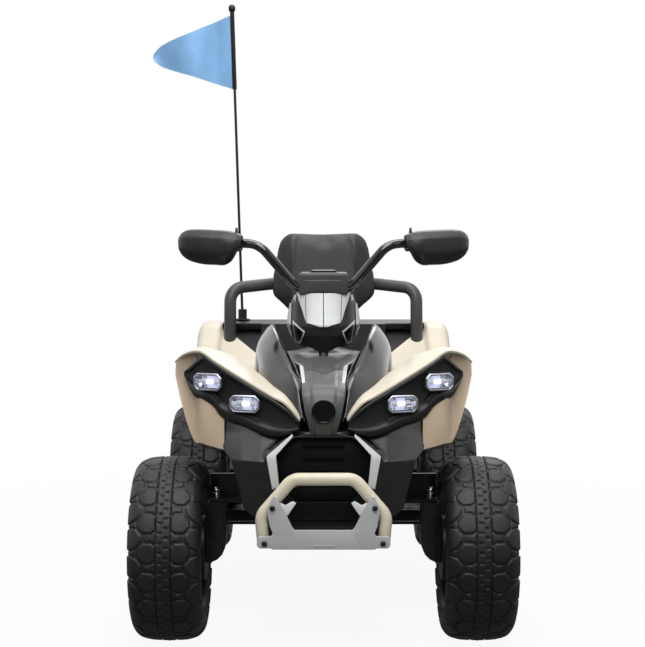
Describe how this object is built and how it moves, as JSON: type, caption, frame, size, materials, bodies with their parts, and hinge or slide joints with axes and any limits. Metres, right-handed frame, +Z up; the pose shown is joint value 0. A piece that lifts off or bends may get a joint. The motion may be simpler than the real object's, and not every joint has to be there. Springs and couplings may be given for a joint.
{
  "type": "kids electric quad bike",
  "caption": "Child's ride-on electric quad bike with fat tyres, beige fenders, swept light pods, tube bumper, steered handlebar, backrest with grab rail and a pennant on a pole.",
  "frame": {"origin": "on the ground, on the middle plane, half way between the axles", "axes": "+Z up, the bike faces -Y, +X is the rider's left"},
  "size_m": [0.728, 1.099, 1.2272],
  "materials": {
    "tyre_black": "matte moulded foam rubber",
    "black_plastic": "fine grained",
    "gloss_black": "gloss",
    "hood_grey": "satin",
    "beige_plastic": "semi-gloss",
    "silver_plastic": "satin silver",
    "bumper_beige": "semi-gloss paint",
    "bumper_silver": "satin paint",
    "dark_steel": "powder coat",
    "chrome_steel": "polished",
    "zinc_steel": "zinc plated",
    "grip_rubber": "ribbed",
    "lamp_silver": "bright reflector",
    "lamp_clear": "clear moulding",
    "seat_leather": "smooth synthetic leather",
    "backrest_grey": "grained synthetic leather",
    "flag_blue": "woven cloth",
    "button_red": "satin",
    "battery_case": "satin"
  },
  "bodies": {
    "chassis": {"front_axle_beam": "dark_steel", "kingpins": "chrome_steel", "rear_axle_beam": "dark_steel", "rear_gearboxes": "black_plastic", "rear_wheel_nuts": "zinc_steel", "hood": "hood_grey", "front_fairing": "black_plastic", "grille": "black_plastic", "fairing_trims": "silver_plastic", "front_fender_left": "beige_plastic", "front_fender_right": "beige_plastic", "side_cowl_left": "gloss_black", "side_cowl_right": "gloss_black", "headlight_bezel_left": "black_plastic", "headlight_bezel_right": "black_plastic", "lamp_reflectors": "lamp_silver", "lamp_lenses": "lamp_clear", "hood_inserts": "silver_plastic", "chassis_tub": "black_plastic", "rear_body": "black_plastic", "charge_socket": "black_plastic", "battery": "battery_case", "bumper_hoop": "bumper_beige", "bumper_plate": "bumper_silver", "bumper_bolts": "dark_steel", "emblem_disc": "gloss_black", "seat": "seat_leather", "backrest": "backrest_grey", "grab_rail": "dark_steel", "rear_fender_left": "beige_plastic", "rear_fender_right": "beige_plastic", "flag_socket": "black_plastic", "flag_pole": "dark_steel"},
    "steering": {"steering_column": "dark_steel", "handlebar": "dark_steel", "grips": "grip_rubber", "switch_housings": "black_plastic", "dash_panel": "black_plastic", "nacelle": "silver_plastic", "hand_guard_left": "black_plastic", "hand_guard_right": "black_plastic"},
    "horn_button": {"horn_button": "button_red"},
    "pedal": {"accelerator_pedal": "black_plastic"},
    "knuckle_left": {"knuckle_left": "dark_steel", "front_gearbox_left": "black_plastic", "wheel_nut_left": "zinc_steel"},
    "knuckle_right": {"knuckle_right": "dark_steel", "front_gearbox_right": "black_plastic", "wheel_nut_right": "zinc_steel"},
    "tie_rod": {"tie_rod": "zinc_steel"},
    "front_wheel_left": {"front_tyre_left": "tyre_black", "front_rim_left": "black_plastic"},
    "front_wheel_right": {"front_tyre_right": "tyre_black", "front_rim_right": "black_plastic"},
    "rear_wheel_left": {"rear_tyre_left": "tyre_black", "rear_rim_left": "black_plastic"},
    "rear_wheel_right": {"rear_tyre_right": "tyre_black", "rear_rim_right": "black_plastic"},
    "flag": {"flag_sleeve": "black_plastic", "flag": "flag_blue"}
  },
  "joints": [
    {"name": "steering_turn", "type": "hinge", "parent": "chassis", "child": "steering", "pos_m": [0, -0.19393, 0.62], "axis": [0, 0.3746, 0.9272], "range_deg": [-24, 24]},
    {"name": "knuckle_left_turn", "type": "hinge", "parent": "chassis", "child": "knuckle_left", "pos_m": [0.192, -0.36, 0.2], "axis": [0, 0, 1], "range_deg": [-24, 24]},
    {"name": "knuckle_right_turn", "type": "hinge", "parent": "chassis", "child": "knuckle_right", "pos_m": [-0.192, -0.36, 0.2], "axis": [0, 0, 1], "range_deg": [-24, 24]},
    {"name": "tie_rod_swing", "type": "hinge", "parent": "knuckle_left", "child": "tie_rod", "pos_m": [0.192, -0.3, 0.1973], "axis": [0, 0, 1], "range_deg": [-24, 24]},
    {"name": "front_wheel_left_spin", "type": "hinge", "parent": "knuckle_left", "child": "front_wheel_left", "pos_m": [0.273, -0.36, 0.165], "axis": [1, 0, 0], "continuous": true},
    {"name": "front_wheel_right_spin", "type": "hinge", "parent": "knuckle_right", "child": "front_wheel_right", "pos_m": [-0.273, -0.36, 0.165], "axis": [1, 0, 0], "continuous": true},
    {"name": "rear_wheel_left_spin", "type": "hinge", "parent": "chassis", "child": "rear_wheel_left", "pos_m": [0.273, 0.36, 0.165], "axis": [1, 0, 0], "continuous": true},
    {"name": "rear_wheel_right_spin", "type": "hinge", "parent": "chassis", "child": "rear_wheel_right", "pos_m": [-0.273, 0.36, 0.165], "axis": [1, 0, 0], "continuous": true},
    {"name": "pedal_press", "type": "hinge", "parent": "chassis", "child": "pedal", "pos_m": [-0.2063, -0.0189, 0.1836], "axis": [1, 0, 0], "range_deg": [0, 14], "stiffness_Nm_per_rad": 1.5, "springref_deg": -11.46},
    {"name": "horn_button_press", "type": "slide", "parent": "steering", "child": "horn_button", "axis": [0, -1, 0], "range_m": [0, 0.003], "stiffness_N_per_m": 300, "springref_m": -0.001},
    {"name": "flag_swivel", "type": "hinge", "parent": "chassis", "child": "flag", "pos_m": [-0.185, 0.4096, 0.517], "axis": [-0.03, 0, 0.9996], "continuous": true}
  ],
  "couplings": [
    {"joint": "knuckle_left_turn", "follows": "steering_turn", "ratio": 1},
    {"joint": "knuckle_right_turn", "follows": "steering_turn", "ratio": 1},
    {"joint": "tie_rod_swing", "follows": "steering_turn", "ratio": -1}
  ]
}
